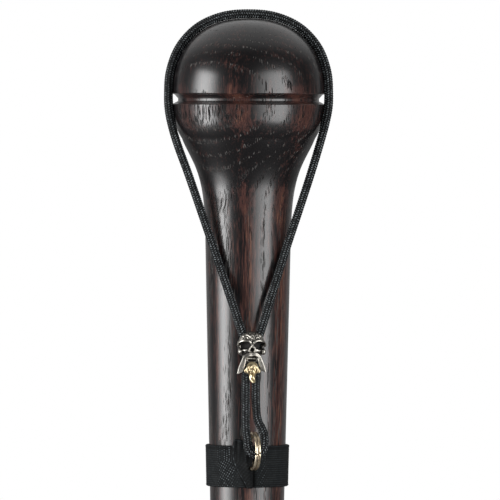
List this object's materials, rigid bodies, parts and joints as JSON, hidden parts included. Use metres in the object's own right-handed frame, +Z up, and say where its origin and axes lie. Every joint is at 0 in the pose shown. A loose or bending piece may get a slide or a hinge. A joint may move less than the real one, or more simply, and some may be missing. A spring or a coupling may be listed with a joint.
{
  "type": "walking cane",
  "caption": "Ball-knob walking cane of dark wood with a turned groove, a tapering shaft, a rubber ferrule and a braided wrist loop with a skull bead, held by a split ring and an elastic band.",
  "frame": {"origin": "middle of the ferrule's flat sole, on the axis of the stick", "axes": "+Z up along the stick to the knob, -Y the front, where the wrist loop's cord hangs on its ring"},
  "size_m": [0.063, 0.0576, 0.9231],
  "materials": {
    "stained_wood": "open-pored wood stained dark reddish brown under a glossy clear coat",
    "black_rubber": "matt black rubber",
    "washer_steel": "plain steel",
    "black_elastic": "black woven elastic",
    "black_thread": "black thread",
    "gold_wire": "polished wire plated pale gold",
    "braided_cord": "black braided cord",
    "old_silver": "antique silver finish, dark in the hollows",
    "bright_brass": "polished brass"
  },
  "bodies": {
    "cane": {"stick": "stained_wood", "ferrule": "black_rubber", "ferrule_washer": "washer_steel"},
    "band": {"elastic_band": "black_elastic", "band_stitching": "black_thread"},
    "ring": {"split_ring": "gold_wire"},
    "loop": {"wrist_cord": "braided_cord"},
    "bead": {"skull_bead": "old_silver", "bead_beard": "bright_brass"}
  },
  "joints": [
    {"name": "strap_turn", "type": "hinge", "parent": "cane", "child": "band", "pos_m": [0, 0, 0.7522], "axis": [0, 0, 1], "continuous": true},
    {"name": "ring_turn", "type": "hinge", "parent": "band", "child": "ring", "pos_m": [0.0024, -0.0217, 0.7584], "axis": [0.9681, 0.2504, 0], "continuous": true},
    {"name": "loop_swing", "type": "hinge", "parent": "band", "child": "loop", "pos_m": [0, -0.0246, 0.7575], "axis": [0.9877, 0.1564, 0], "range_deg": [0, 186]},
    {"name": "bead_slide", "type": "slide", "parent": "loop", "child": "bead", "axis": [0, 0.0817, 0.9967], "range_m": [-0.013, 0]}
  ]
}
